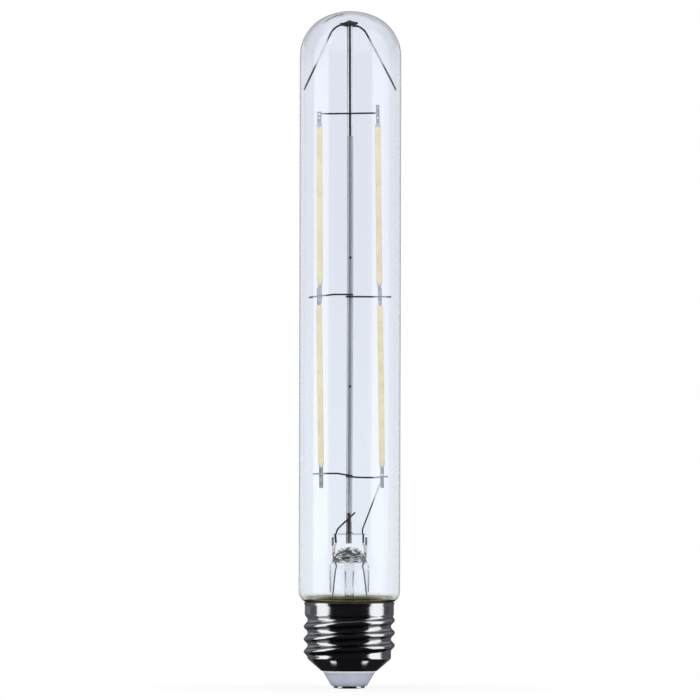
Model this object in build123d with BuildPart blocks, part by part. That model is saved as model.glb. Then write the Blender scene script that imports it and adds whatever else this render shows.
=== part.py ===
"""Clear tubular filament lamp with a medium screw base, standing on its centre contact."""
from build123d import *
import os
from math import asin, atan2, copysign, cos, degrees, radians, sin, sqrt

# Centre contact and insulator
contact_od = 9.0
contact_flat_od = 4.6
contact_height = 0.7
rivet_od = 2.8
rivet_clearance = 0.05
rivet_bore_depth = 1.2
insulator_bottom_od = 10.2
insulator_height = 4.4
insulator_floor = 2.0
insulator_wall = 1.3
insulator_clearance = 0.1
flange_od = 19.2
recess_od = 13.8
recess_depth = 0.9

# Screw shell with its rolled right-hand thread
shell_wall = 0.3
mouth_od = 16.1
cone_height = 3.5
thread_height = 12.6
thread_major = 26.3
thread_minor = 24.1
thread_pitch = 3.629
thread_start_angle = 8.0
thread_fade_turns = 0.4
thread_end_share = 0.08
ridge_base_width = 2.2
crest_width = 0.7
run_out_height = 0.3
sections_per_turn = 20
collar_od = 25.7
collar_height = 3.6

# Glass envelope and the cement that holds it in the shell
glass_od = 29.2
glass_wall = 0.9
crown_extra = 3.2
knuckle_inset = 1.9
shoulder_radius = 3.6
shoulder_land = 0.5
rim_clearance = 0.2
neck_clearance = 1.35
neck_depth = 8.3
cement_height = 2.4
cement_clearance = 0.05

# Glass stem: flare, tube and pinch head
stem_od = 11.6
stem_wall = 0.6
flare_height = 4.5
flare_gap = 0.1
stem_rise = 19.9
head_width = 9.8
head_depth = 5.4
head_edge = 0.7
head_height = 7.2
head_shoulder = 4.0
head_solid = 4.0
press_drop = 1.0
exhaust_od = 2.7
exhaust_wall = 0.6
exhaust_margin = 0.3
exhaust_tip_drop = 5.0

# Centre rod, its sleeve and the centring spring at the top
rod_diameter = 1.6
rod_seat_depth = 2.9
seal_clearance = 0.03
sleeve_wall = 0.1
sleeve_clearance = 0.02
sleeve_start_rise = 5.9
sleeve_end_drop = 6.5
rod_above_top_wire = 27.1
crown_gap = 1.5
spring_diameter = 0.55
spring_bend = 3.5
spring_tip_clearance = 0.05
left_tail_reach = 2.1
left_tail_drop = 1.0
left_knee_reach = 4.55
left_knee_drop = 1.55
left_tip_drop = 20.4
right_tail_reach = 3.1
right_tail_drop = 1.1
right_knee_reach = 3.4
right_knee_drop = 1.75
right_tip_drop = 20.4

# Cross wires, filaments and their end tabs
weld_gap = 0.02
cross_wire_diameter = 0.43
cross_wire_spread = 0.1
bottom_wire_rise = 16.5
filament_length = 47.1
filament_width = 1.75
filament_depth = 1.0
filament_tip_width = 1.2
filament_taper = 1.2
filament_edge = 0.3
tab_width = 1.0
tab_thickness = 0.2
tab_insert = 0.8
tab_gap = 0.06
bottom_tab_free = 2.4
middle_tab_gap = 5.05
top_tab_free = 2.85
bottom_tab_overhang = 3.4
middle_tab_overhang = 2.2
top_left_overhang = 0.5
top_right_overhang = 2.5
top_wire_overrun = 0.3
upper_left_top_x = -8.92
upper_left_low_x = -8.66
upper_right_top_x = 7.85
upper_right_low_x = 8.5
lower_left_top_x = -8.95
lower_left_low_x = -8.2
lower_right_top_x = 8.65
lower_right_low_x = 9.35

# Reach past the rod, reach to the free end and rise of that end, for each side wire
middle_left_wire = (0.9, 11.8, -0.8)
middle_right_wire = (1.3, 11.8, 0.0)
bottom_left_wire = (0.9, 10.6, 0.35)
bottom_right_wire = (1.1, 10.95, 0.05)

# Leads through the pinch
inner_lead_diameter = 0.5
seal_wire_diameter = 0.4
outer_lead_diameter = 0.4
lead_bend = 1.0
left_lead_margin = 1.2
right_lead_margin = 1.15
seal_top_depth = 2.7
seal_low_rise = 1.7
left_lead_rise = 0.3
left_lead_run = 5.6
left_lead_climb = 5.7
right_lead_rise = 1.2
right_lead_inset = 0.45
right_lead_meet_drop = 1.8
right_lead_end_drop = 0.9
outer_lead_gap = 0.15
outer_lead_margin = 1.5

# Driver in the base
board_od = 18.6
board_thickness = 1.0
board_hole_clearance = 0.12
solder_length = 0.5
capacitor_od = 5.0
capacitor_height = 6.5
capacitor_y = 5.6
rectifier_size = (4.7, 3.8, 1.4)
rectifier_place = (-4.6, 3.8)
chip_size = (4.9, 3.9, 1.5)
chip_place = (4.7, 3.8)
fuse_size = (3.2, 1.6, 0.7)
fuse_place = (5.2, -4.0)
contact_lead_diameter = 0.5
contact_lead_clearance = 0.05
shell_lead_diameter = 0.5
shell_lead_margin = 0.7
shell_lead_rise = 3.0
shell_lead_climb = 3.0
shell_lead_clearance = 0.05

os.makedirs("parts", exist_ok=True)

# Heights, worked out upwards from the bottom face of the centre contact
mouth_z = contact_height + insulator_height
cup_floor_z = contact_height + insulator_floor
cone_top_z = mouth_z + cone_height
collar_z = cone_top_z + thread_height
rim_z = collar_z + collar_height
neck_z = rim_z - neck_depth
head_top_z = rim_z + stem_rise
head_z = head_top_z - head_height
stem_top_z = head_z - head_shoulder
hollow_top_z = head_top_z - head_solid
seal_top_z = head_top_z - seal_top_depth
seal_low_z = stem_top_z + seal_low_rise
bottom_wire_z = head_top_z + bottom_wire_rise
lower_end_z = bottom_wire_z + bottom_tab_free + filament_length
middle_wire_z = lower_end_z + middle_tab_gap / 2
top_wire_z = lower_end_z + middle_tab_gap + filament_length + top_tab_free
rod_top_z = top_wire_z + rod_above_top_wire
crown_z = rod_top_z + crown_gap + glass_wall

# Radii and sideways places that several pieces share
mouth_radius = mouth_od / 2
minor_radius = thread_minor / 2
major_radius = thread_major / 2
collar_radius = collar_od / 2
collar_bore = collar_radius - shell_wall
bore_radius = minor_radius - shell_wall
glass_radius = glass_od / 2
glass_bore = glass_radius - glass_wall
neck_radius = min(bore_radius, collar_bore) - neck_clearance
stem_radius = stem_od / 2
stem_bore = stem_radius - stem_wall
exhaust_radius = exhaust_od / 2
rod_radius = rod_diameter / 2
sleeve_radius = rod_radius + sleeve_clearance + sleeve_wall
cross_wire_radius = cross_wire_diameter / 2
inner_lead_radius = inner_lead_diameter / 2
outer_lead_radius = outer_lead_diameter / 2
left_lead_x = head_width / 2 - left_lead_margin
right_lead_x = head_width / 2 - right_lead_margin


def save(piece, label):
    """Name a finished piece and write it to its own file."""
    piece.label = label
    export_step(piece, f"parts/{label}.step")


def straight_wire(label, diameter, start, end):
    """Round wire between two points."""
    along = Vector(*end) - Vector(*start)
    with BuildPart() as wire:
        with BuildSketch(Plane(start, z_dir=along)):
            Circle(diameter / 2)
        extrude(amount=along.length)
    save(wire.part, label)


def bent_wire(label, diameter, points, bend_radius):
    """Round wire of straight runs joined by tangent arcs."""
    with BuildPart() as wire:
        with BuildLine() as route:
            FilletPolyline(*points, radius=bend_radius)
        with BuildSketch(Plane(origin=route.line @ 0, z_dir=route.line % 0)):
            Circle(diameter / 2)
        sweep(path=route.wires()[0])
    save(wire.part, label)


# Centre contact: a shallow dome with a flat middle, riveted through the insulator
with BuildPart() as centre_contact:
    with BuildSketch(Plane.XZ):
        with BuildLine():
            Polyline(
                (0, 0),
                (contact_flat_od / 2, 0),
                (contact_od / 2, contact_height / 2),
                (contact_od / 2, contact_height),
                (rivet_od / 2, contact_height),
                (rivet_od / 2, cup_floor_z),
                (0, cup_floor_z),
                close=True,
            )
        make_face()
    revolve(axis=Axis.Z)
    with BuildSketch(Plane.XY.offset(cup_floor_z)):
        Circle(contact_lead_diameter / 2 + contact_lead_clearance)
    extrude(amount=-rivet_bore_depth, mode=Mode.SUBTRACT)
save(centre_contact.part, "centre_contact")

# The inside of the shell's cone, which the insulator's flange rests against
cone_run = minor_radius - mouth_radius
cone_slope = cone_height / cone_run
mouth_bore = mouth_radius - shell_wall * sqrt(1 + 1 / cone_slope**2)
bore_low_z = mouth_z + (bore_radius - mouth_bore) * cone_slope
flange_z = mouth_z + (flange_od / 2 - mouth_bore) * cone_slope

# Insulator: moulded cup, tapered outside, with a flange behind the shell's cone and a recess for solder
insulator_radius = insulator_bottom_od / 2
cup_radius = insulator_radius - insulator_wall
rivet_hole = rivet_od / 2 + rivet_clearance
with BuildPart() as insulator:
    with BuildSketch(Plane.XZ):
        with BuildLine():
            Polyline(
                (rivet_hole, contact_height),
                (insulator_radius, contact_height),
                (mouth_bore - insulator_clearance, mouth_z),
                (flange_od / 2 - insulator_clearance, flange_z),
                (recess_od / 2, flange_z),
                (recess_od / 2, flange_z - recess_depth),
                (cup_radius, flange_z - recess_depth),
                (cup_radius, cup_floor_z),
                (rivet_hole, cup_floor_z),
                close=True,
            )
        make_face()
    revolve(axis=Axis.Z)
save(insulator.part, "insulator")

# Screw shell: drawn sheet, with the thread ridge lofted through sections round the axis
ledge_z = collar_z + copysign(shell_wall, collar_radius - minor_radius)
thread_low_z = cone_top_z + run_out_height
thread_turns = (thread_height + run_out_height) / thread_pitch
ridge_root = minor_radius - shell_wall / 2
section_count = round(thread_turns * sections_per_turn)
with BuildPart() as thread_ridge:
    for index in range(section_count + 1):
        turns = thread_turns * index / section_count
        fade = min(1, turns / thread_fade_turns, (thread_turns - turns) / thread_fade_turns)
        share = max(fade, thread_end_share)
        ridge_z = thread_low_z + thread_pitch * turns
        ridge_top = minor_radius + (major_radius - minor_radius) * share
        half_base = ridge_base_width / 2 * share
        half_crest = crest_width / 2 * share
        angle = radians(thread_start_angle + 360 * turns)
        outward = (cos(angle), sin(angle), 0)
        with BuildSketch(Plane((0, 0, 0), x_dir=outward, z_dir=(sin(angle), -cos(angle), 0))):
            with BuildLine():
                Polyline(
                    (ridge_root, ridge_z - half_base),
                    (ridge_top, ridge_z - half_crest),
                    (ridge_top, ridge_z + half_crest),
                    (ridge_root, ridge_z + half_base),
                    close=True,
                )
            make_face()
    loft(ruled=True)
with BuildPart() as screw_shell:
    with BuildSketch(Plane.XZ):
        with BuildLine():
            Polyline(
                (0, mouth_z),
                (mouth_radius, mouth_z),
                (minor_radius, cone_top_z),
                (minor_radius, collar_z),
                (collar_radius, collar_z),
                (collar_radius, rim_z),
                (0, rim_z),
                close=True,
            )
        make_face()
    revolve(axis=Axis.Z)
    add(thread_ridge.part)
    with BuildSketch(Plane.XZ):
        with BuildLine():
            Polyline(
                (0, mouth_z),
                (mouth_bore, mouth_z),
                (bore_radius, bore_low_z),
                (bore_radius, ledge_z),
                (collar_bore, ledge_z),
                (collar_bore, rim_z),
                (0, rim_z),
                close=True,
            )
        make_face()
    revolve(axis=Axis.Z, mode=Mode.SUBTRACT)
save(screw_shell.part, "screw_shell")

# Outline of the envelope: the shoulder rests just above the shell's rim, the dome over the rod
shoulder = min(shoulder_radius, glass_radius - neck_radius - shoulder_land)
shoulder_x = glass_radius - shoulder
rim_reach = max(min(collar_radius, glass_radius) - shoulder_x, 0)
shoulder_z = rim_z + rim_clearance + sqrt(shoulder**2 - rim_reach**2)
shoulder_low_z = shoulder_z - shoulder
crown_radius = glass_radius + crown_extra
knuckle_radius = glass_radius - knuckle_inset
crown_centre_z = crown_z - crown_radius
knuckle_rise = sqrt((crown_extra + knuckle_inset) ** 2 - knuckle_inset**2)
dome_z = crown_centre_z + knuckle_rise
knuckle_turn = degrees(atan2(knuckle_rise, knuckle_inset))


def dome_arcs(inset):
    """Knuckle and crown of the dome, moved into the glass by the given amount."""
    CenterArc((knuckle_inset, dome_z), knuckle_radius - inset, 0, knuckle_turn)
    CenterArc((0, crown_centre_z), crown_radius - inset, knuckle_turn, 90 - knuckle_turn)


# Glass envelope: straight tube, domed crown above and a rounded shoulder into the neck below
with BuildPart() as glass_envelope:
    with BuildSketch(Plane.XZ):
        with BuildLine():
            Polyline((neck_radius, neck_z), (neck_radius, shoulder_low_z), (shoulder_x, shoulder_low_z))
            CenterArc((shoulder_x, shoulder_z), shoulder, -90, 90)
            Line((glass_radius, shoulder_z), (glass_radius, dome_z))
            dome_arcs(0)
            Line((0, crown_z), (0, crown_z - glass_wall))
            dome_arcs(glass_wall)
            Polyline(
                (glass_bore, dome_z),
                (glass_bore, shoulder_z),
                (shoulder_x, shoulder_low_z + glass_wall),
                (neck_radius - glass_wall, shoulder_low_z + glass_wall),
                (neck_radius - glass_wall, neck_z),
                (neck_radius, neck_z),
            )
        make_face()
    revolve(axis=Axis.Z)
save(glass_envelope.part, "glass_envelope")

# Basing cement: a ring between the glass neck and the shell's collar, above the collar's ledge
cement_low_z = max(shoulder_low_z - cement_height, ledge_z)
with BuildPart() as basing_cement:
    with BuildSketch(Plane.XY.offset(cement_low_z)):
        Circle(collar_bore - cement_clearance)
        Circle(neck_radius + cement_clearance, mode=Mode.SUBTRACT)
    extrude(amount=shoulder_low_z - cement_low_z)
save(basing_cement.part, "basing_cement")

# Glass stem: flare fused to the neck, stem tube, and the head pinched flat round the wires
flare_top_z = neck_z + flare_height
lip_radius = neck_radius - glass_wall - flare_gap
press_full_z = head_z + press_drop


def press_flats(inset):
    """Cut away what the two press jaws flatten, moved towards the axis by the given amount."""
    flat_y = head_depth / 2 - inset
    wide_y = stem_radius + head_edge - inset
    for side in (-1, 1):
        with BuildSketch(Plane.YZ) as jaw:
            with BuildLine():
                Polyline(
                    (side * flat_y, head_top_z + head_edge),
                    (side * flat_y, press_full_z),
                    (side * wide_y, stem_top_z),
                    (side * wide_y, head_top_z + head_edge),
                    close=True,
                )
            make_face()
        extrude(jaw.sketch, amount=stem_od, both=True, mode=Mode.SUBTRACT)


with BuildPart() as stem_hollow:
    with BuildSketch(Plane.XZ):
        with BuildLine():
            Polyline(
                (0, stem_top_z),
                (stem_bore, stem_top_z),
                (exhaust_radius + exhaust_margin, hollow_top_z),
                (0, hollow_top_z),
                close=True,
            )
        make_face()
    revolve(axis=Axis.Z)
    press_flats(stem_wall)
with BuildPart() as glass_stem:
    with BuildSketch(Plane.XZ):
        with BuildLine():
            Polyline(
                (0, stem_top_z),
                (stem_bore, stem_top_z),
                (stem_bore, flare_top_z - stem_wall),
                (lip_radius, neck_z - stem_wall),
                (neck_radius, neck_z - stem_wall),
                (neck_radius, neck_z),
                (lip_radius, neck_z),
                (stem_radius, flare_top_z),
                (stem_radius, stem_top_z),
                (head_width / 2, head_z),
                (head_width / 2, head_top_z - head_edge),
                (head_width / 2 - head_edge, head_top_z),
                (0, head_top_z),
                close=True,
            )
        make_face()
    revolve(axis=Axis.Z)
    press_flats(0)
    add(stem_hollow.part, mode=Mode.SUBTRACT)
    for x in (-left_lead_x, right_lead_x):
        for low_z, high_z, wire_diameter in (
            (stem_top_z, seal_top_z, seal_wire_diameter),
            (seal_top_z, head_top_z, inner_lead_diameter),
        ):
            with BuildSketch(Plane.XY.offset(low_z)):
                with Locations((x, 0)):
                    Circle(wire_diameter / 2 + seal_clearance)
            extrude(amount=high_z - low_z, mode=Mode.SUBTRACT)
    with BuildSketch(Plane.XY.offset(head_top_z)):
        Circle(rod_radius + seal_clearance)
    extrude(amount=-rod_seat_depth, mode=Mode.SUBTRACT)
save(glass_stem.part, "glass_stem")

# Exhaust tube: open into the stem's hollow at the top and melted shut at its lower tip
exhaust_tip_z = neck_z - exhaust_tip_drop
exhaust_bore = exhaust_radius - exhaust_wall
with BuildPart() as exhaust_tube:
    with BuildSketch(Plane.XZ):
        with BuildLine():
            Polyline(
                (0, exhaust_tip_z),
                (exhaust_bore, exhaust_tip_z),
                (exhaust_radius, exhaust_tip_z + exhaust_radius),
                (exhaust_radius, hollow_top_z),
                (exhaust_bore, hollow_top_z),
                (exhaust_bore, exhaust_tip_z + exhaust_radius),
                (0, exhaust_tip_z + exhaust_radius),
                close=True,
            )
        make_face()
    revolve(axis=Axis.Z)
save(exhaust_tube.part, "exhaust_tube")

# Centre rod and its insulating sleeve
straight_wire("centre_rod", rod_diameter, (0, 0, head_top_z - rod_seat_depth), (0, 0, rod_top_z))
sleeve_low_z = head_top_z + sleeve_start_rise
sleeve_top_z = top_wire_z - sleeve_end_drop
with BuildPart() as rod_sleeve:
    with BuildSketch(Plane.XY.offset(sleeve_low_z)):
        Circle(sleeve_radius)
        Circle(rod_radius + sleeve_clearance, mode=Mode.SUBTRACT)
    extrude(amount=sleeve_top_z - sleeve_low_z)
save(rod_sleeve.part, "rod_sleeve")

# Centring spring: two wires welded to the front and back of the rod, tips on the glass
spring_radius = spring_diameter / 2
spring_y = rod_radius + spring_radius + weld_gap
tip_x = sqrt((glass_bore - spring_radius - spring_tip_clearance) ** 2 - spring_y**2)
bent_wire(
    "left_spring_arm",
    spring_diameter,
    [
        (left_tail_reach, -spring_y, rod_top_z - left_tail_drop),
        (-left_knee_reach, -spring_y, rod_top_z - left_knee_drop),
        (-tip_x, -spring_y, rod_top_z - left_tip_drop),
    ],
    spring_bend,
)
bent_wire(
    "right_spring_arm",
    spring_diameter,
    [
        (-right_tail_reach, spring_y, rod_top_z - right_tail_drop),
        (right_knee_reach, spring_y, rod_top_z - right_knee_drop),
        (tip_x, spring_y, rod_top_z - right_tip_drop),
    ],
    spring_bend,
)

# Cross wires: the top one crosses the bare rod, the others pass the sleeve in pairs
top_wire_y = -rod_radius - cross_wire_radius - weld_gap
side_wire_y = -sleeve_radius - cross_wire_radius - weld_gap
for label, side, height, sizes in (
    ("middle_left_wire", -1, middle_wire_z, middle_left_wire),
    ("middle_right_wire", 1, middle_wire_z, middle_right_wire),
    ("bottom_left_wire", -1, bottom_wire_z, bottom_left_wire),
    ("bottom_right_wire", 1, bottom_wire_z, bottom_right_wire),
):
    tail, reach, rise = sizes
    rod_height = height - side * (cross_wire_radius + cross_wire_spread)
    wire_tail = (-side * tail, side_wire_y, rod_height - rise * tail / reach)
    wire_end = (side * reach, side_wire_y, rod_height + rise)
    straight_wire(label, cross_wire_diameter, wire_tail, wire_end)
straight_wire(
    "top_cross_wire",
    cross_wire_diameter,
    (upper_left_top_x - top_wire_overrun, top_wire_y, top_wire_z),
    (upper_right_top_x + top_wire_overrun, top_wire_y, top_wire_z),
)

# Filaments: top tabs lie in front of their wire, the others behind, two deep at the middle
tab_seat = cross_wire_radius + weld_gap + tab_thickness / 2
front_y = top_wire_y - tab_seat
behind_y = side_wire_y + tab_seat
stacked_y = behind_y + tab_thickness + tab_gap
middle_tab_free = middle_tab_gap / 2


def filament(label, low_point, high_point, body_low, tab_ends):
    """Coated filament along the line between its two welds, with a metal tab set in each end."""
    along = Vector(*high_point) - Vector(*low_point)
    span = along.length
    across = (Vector(1, 0, 0) - along * (along.X / span**2)).normalized()
    face_plane = Plane(low_point, x_dir=across, z_dir=across.cross(along))
    body_high = body_low + filament_length
    tabs = (
        ("bottom_tab", -tab_ends[0], body_low + tab_insert),
        ("top_tab", body_high - tab_insert, span + tab_ends[1]),
    )
    half = filament_width / 2
    tip = filament_tip_width / 2
    with BuildPart() as body:
        with BuildSketch(face_plane):
            with BuildLine():
                Polyline(
                    (-tip, body_low),
                    (tip, body_low),
                    (half, body_low + filament_taper),
                    (half, body_high - filament_taper),
                    (tip, body_high),
                    (-tip, body_high),
                    (-half, body_high - filament_taper),
                    (-half, body_low + filament_taper),
                    close=True,
                )
            make_face()
        extrude(amount=filament_depth / 2, both=True)
        long_edges = body.edges().sort_by(SortBy.LENGTH)[-4:]
        chamfer(long_edges, length=filament_edge)
        for name, low, high in tabs:
            with BuildSketch(face_plane):
                with Locations((0, (low + high) / 2)):
                    Rectangle(tab_width, high - low)
            extrude(amount=tab_thickness / 2, both=True, mode=Mode.SUBTRACT)
    save(body.part, f"{label}_filament")
    for name, low, high in tabs:
        with BuildPart() as tab:
            with BuildSketch(face_plane):
                with Locations((0, (low + high) / 2)):
                    Rectangle(tab_width, high - low)
            extrude(amount=tab_thickness / 2, both=True)
        save(tab.part, f"{label}_{name}")


filament(
    "upper_left",
    (upper_left_low_x, behind_y, middle_wire_z),
    (upper_left_top_x, front_y, top_wire_z),
    middle_tab_free,
    (middle_tab_overhang, top_left_overhang),
)
filament(
    "upper_right",
    (upper_right_low_x, behind_y, middle_wire_z),
    (upper_right_top_x, front_y, top_wire_z),
    middle_tab_free,
    (middle_tab_overhang, top_right_overhang),
)
filament(
    "lower_left",
    (lower_left_low_x, behind_y, bottom_wire_z),
    (lower_left_top_x, stacked_y, middle_wire_z),
    bottom_tab_free,
    (bottom_tab_overhang, middle_tab_overhang),
)
filament(
    "lower_right",
    (lower_right_low_x, behind_y, bottom_wire_z),
    (lower_right_top_x, stacked_y, middle_wire_z),
    bottom_tab_free,
    (bottom_tab_overhang, middle_tab_overhang),
)

# Left inner lead: leans past the front of the bare rod, to which it is welded
lean = asin((rod_radius + inner_lead_radius + weld_gap) / left_lead_x)
left_bend_z = head_top_z + left_lead_rise
bent_wire(
    "left_inner_lead",
    inner_lead_diameter,
    [
        (-left_lead_x, 0, seal_top_z),
        (-left_lead_x, 0, left_bend_z),
        (
            -left_lead_x + left_lead_run * cos(lean),
            -left_lead_run * sin(lean),
            left_bend_z + left_lead_climb,
        ),
    ],
    lead_bend,
)

# Right inner lead: slants up to the lower right filament and lies along the front of its tab
tab_front_y = behind_y - tab_thickness / 2 - weld_gap - inner_lead_radius
tab_lead_x = lower_right_low_x - right_lead_inset
bent_wire(
    "right_inner_lead",
    inner_lead_diameter,
    [
        (right_lead_x, 0, seal_top_z),
        (right_lead_x, 0, head_top_z + right_lead_rise),
        (tab_lead_x, tab_front_y, bottom_wire_z - right_lead_meet_drop),
        (tab_lead_x, tab_front_y, bottom_wire_z - right_lead_end_drop),
    ],
    lead_bend,
)

# Driver board on the insulator's flange, and the outer leads that run down the stem to it
board_top_z = flange_z + board_thickness
lead_low_z = flange_z - solder_length
guide_x = stem_bore - outer_lead_radius - outer_lead_gap
guide_z = flare_top_z - stem_wall
lead_holes = []
for label, side, lead_x in (("left", -1, left_lead_x), ("right", 1, right_lead_x)):
    drop = seal_low_z - lead_low_z
    guided_x = lead_x + (guide_x - lead_x) * drop / (seal_low_z - guide_z)
    low_x = min(guided_x, recess_od / 2 - outer_lead_margin)
    hole_rise = solder_length + board_thickness / 2
    lead_holes.append((side * (low_x + (lead_x - low_x) * hole_rise / drop), 0))
    seal_low = (side * lead_x, 0, seal_low_z)
    straight_wire(f"{label}_seal_wire", seal_wire_diameter, seal_low, (side * lead_x, 0, seal_top_z))
    straight_wire(f"{label}_outer_lead", outer_lead_diameter, (side * low_x, 0, lead_low_z), seal_low)
shell_lead_y = recess_od / 2 - shell_lead_margin
with BuildPart() as driver_board:
    with BuildSketch(Plane.XY.offset(flange_z)):
        Circle(board_od / 2)
        with Locations(*lead_holes):
            Circle(outer_lead_radius + board_hole_clearance, mode=Mode.SUBTRACT)
        with Locations((0, 0)):
            Circle(contact_lead_diameter / 2 + board_hole_clearance, mode=Mode.SUBTRACT)
        with Locations((0, shell_lead_y)):
            Circle(shell_lead_diameter / 2 + board_hole_clearance, mode=Mode.SUBTRACT)
    extrude(amount=board_thickness)
save(driver_board.part, "driver_board")

# Chips and capacitor on the board
for label, size, place in (
    ("rectifier", rectifier_size, rectifier_place),
    ("driver_chip", chip_size, chip_place),
    ("fuse_resistor", fuse_size, fuse_place),
):
    length, width, height = size
    with BuildPart() as chip:
        with BuildSketch(Plane.XY.offset(board_top_z)):
            with Locations(place):
                Rectangle(length, width)
        extrude(amount=height)
    save(chip.part, label)
straight_wire(
    "capacitor",
    capacitor_od,
    (0, -capacitor_y, board_top_z),
    (0, -capacitor_y, board_top_z + capacitor_height),
)

# Leads from the board to the two contacts
straight_wire(
    "contact_lead",
    contact_lead_diameter,
    (0, 0, cup_floor_z - rivet_bore_depth),
    (0, 0, board_top_z + solder_length),
)
shell_touch = bore_radius - shell_lead_diameter / 2 - shell_lead_clearance
shell_bend_z = board_top_z + shell_lead_rise
bent_wire(
    "shell_lead",
    shell_lead_diameter,
    [
        (0, shell_lead_y, lead_low_z),
        (0, shell_lead_y, shell_bend_z),
        (0, shell_touch, shell_bend_z + shell_lead_climb),
    ],
    lead_bend,
)
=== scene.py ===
"""Looks of a clear tubular filament lamp on a screw base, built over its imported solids."""

from math import cos, sin, pi, radians

import bmesh
import bpy
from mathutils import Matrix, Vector


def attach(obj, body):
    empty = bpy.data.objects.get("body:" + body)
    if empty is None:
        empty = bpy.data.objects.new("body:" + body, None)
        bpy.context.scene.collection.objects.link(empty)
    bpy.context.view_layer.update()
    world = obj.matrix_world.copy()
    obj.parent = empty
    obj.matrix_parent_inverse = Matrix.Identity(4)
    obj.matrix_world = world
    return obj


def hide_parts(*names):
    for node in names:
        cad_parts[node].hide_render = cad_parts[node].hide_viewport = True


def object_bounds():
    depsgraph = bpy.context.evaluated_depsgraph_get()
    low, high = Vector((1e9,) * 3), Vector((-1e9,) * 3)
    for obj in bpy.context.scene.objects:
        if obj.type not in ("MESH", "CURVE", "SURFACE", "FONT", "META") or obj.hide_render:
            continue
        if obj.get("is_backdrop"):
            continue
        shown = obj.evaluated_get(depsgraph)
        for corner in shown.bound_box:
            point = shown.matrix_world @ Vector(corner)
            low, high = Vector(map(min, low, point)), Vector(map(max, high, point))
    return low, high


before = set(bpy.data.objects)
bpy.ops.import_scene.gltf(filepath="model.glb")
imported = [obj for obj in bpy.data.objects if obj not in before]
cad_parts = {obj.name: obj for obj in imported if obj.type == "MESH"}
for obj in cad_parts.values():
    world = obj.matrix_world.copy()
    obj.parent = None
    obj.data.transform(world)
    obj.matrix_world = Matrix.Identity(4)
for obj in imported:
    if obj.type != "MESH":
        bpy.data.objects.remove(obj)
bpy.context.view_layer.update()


# Glass stem
# The inner glass of the lamp: a drawn tube, flared at its foot to be fused to the
# envelope's neck. Its top is softened in a flame and pressed flat between two jaws,
# which leaves a solid head that grips the rod and the leads gas-tight.

mm = 0.001


class Shade:
    """A node's output that takes part in sums written as plain Python."""

    def __init__(self, tree, socket=None):
        self.tree = tree
        self.socket = socket

    def feed(self, node, values):
        """Set a node's sockets, or link them to other outputs."""
        for name, value in values.items():
            if isinstance(value, Shade):
                self.tree.links.new(value.socket, node.inputs[name])
            else:
                node.inputs[name].default_value = value

    def node(self, kind, settings={}, values={}, out=0):
        """Any node by its type, with its settings and its sockets' values or links."""
        made = self.tree.nodes.new(kind)
        for name, value in settings.items():
            setattr(made, name, value)
        self.feed(made, values)
        return Shade(self.tree, made.outputs[out] if made.outputs else None)

    def of(self, name):
        """Another output of the same node."""
        return Shade(self.tree, self.socket.node.outputs[name])

    def maths(self, operation, *terms):
        return self.node("ShaderNodeMath", {"operation": operation}, dict(enumerate(terms)))

    def __add__(self, other):
        return self.maths("ADD", self, other)

    def __radd__(self, other):
        return self.maths("ADD", other, self)

    def __sub__(self, other):
        return self.maths("SUBTRACT", self, other)

    def __rsub__(self, other):
        return self.maths("SUBTRACT", other, self)

    def __mul__(self, other):
        return self.maths("MULTIPLY", self, other)

    def __rmul__(self, other):
        return self.maths("MULTIPLY", other, self)

    def __truediv__(self, other):
        return self.maths("DIVIDE", self, other)

    def __rtruediv__(self, other):
        return self.maths("DIVIDE", other, self)

    def ease(self, low, high):
        """Smooth rise from 0 to 1 between two values."""
        return self.node(
            "ShaderNodeMapRange",
            {"interpolation_type": "SMOOTHSTEP"},
            {"Value": self, "From Min": low, "From Max": high},
        )

    def tint(self, low, high):
        """Colour between two others, by this share of the second."""
        return self.node(
            "ShaderNodeMix", {"data_type": "RGBA"}, {0: self, 6: low, 7: high}, out=2
        )

    def place(self, axis):
        """Place along one axis of the lamp, in millimetres."""
        where = self.node("ShaderNodeTexCoord", out="Object")
        return self.node("ShaderNodeSeparateXYZ", {}, {0: where}, out=axis) / mm

    def grain(self, scale, stretch=(1, 1, 1), detail=3.0):
        """Noise that is fixed to the piece and may be drawn out along an axis."""
        where = self.node("ShaderNodeTexCoord", out="Object")
        where = self.node("ShaderNodeMapping", {}, {"Vector": where, "Scale": stretch})
        return self.node(
            "ShaderNodeTexNoise", {}, {"Vector": where, "Scale": scale, "Detail": detail}
        )

    def relief(self, strength, distance):
        """Bumped normal from this height."""
        return self.node(
            "ShaderNodeBump", {}, {"Strength": strength, "Distance": distance, "Height": self}
        )


def finish_of(name):
    """A new material, the start of its sums and its surface shader."""
    material = bpy.data.materials.new(name)
    material.use_nodes = True
    tree = material.node_tree
    return material, Shade(tree), tree.nodes["Principled BSDF"]


def skin(name, rings, closed=False, sharp=40):
    """Mesh piece through rings of points in millimetres; a ring of one point is a pole."""
    built = bmesh.new()
    loops = [[built.verts.new(Vector(p) * mm) for p in ring] for ring in rings]
    for low, high in zip(loops, loops[1:] + (loops[:1] if closed else [])):
        sides = max(len(low), len(high))
        for i in range(sides):
            j = (i + 1) % sides
            foot = [low[i], low[j]] if len(low) > 1 else low
            head = [high[j], high[i]] if len(high) > 1 else high
            built.faces.new(foot + head)
    bmesh.ops.recalc_face_normals(built, faces=built.faces)
    mesh = bpy.data.meshes.new(name)
    built.to_mesh(mesh)
    built.free()
    mesh.shade_smooth()
    mesh.set_sharp_from_angle(angle=radians(sharp))
    piece = bpy.data.objects.new(name, mesh)
    bpy.context.collection.objects.link(piece)
    return piece


def dress(piece, material, slot, *nodes):
    """Give a finished piece its material and its place in the frame."""
    if not piece.data.materials:
        piece.data.materials.append(material)
    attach(piece, "root")
    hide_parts(*nodes)


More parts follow.
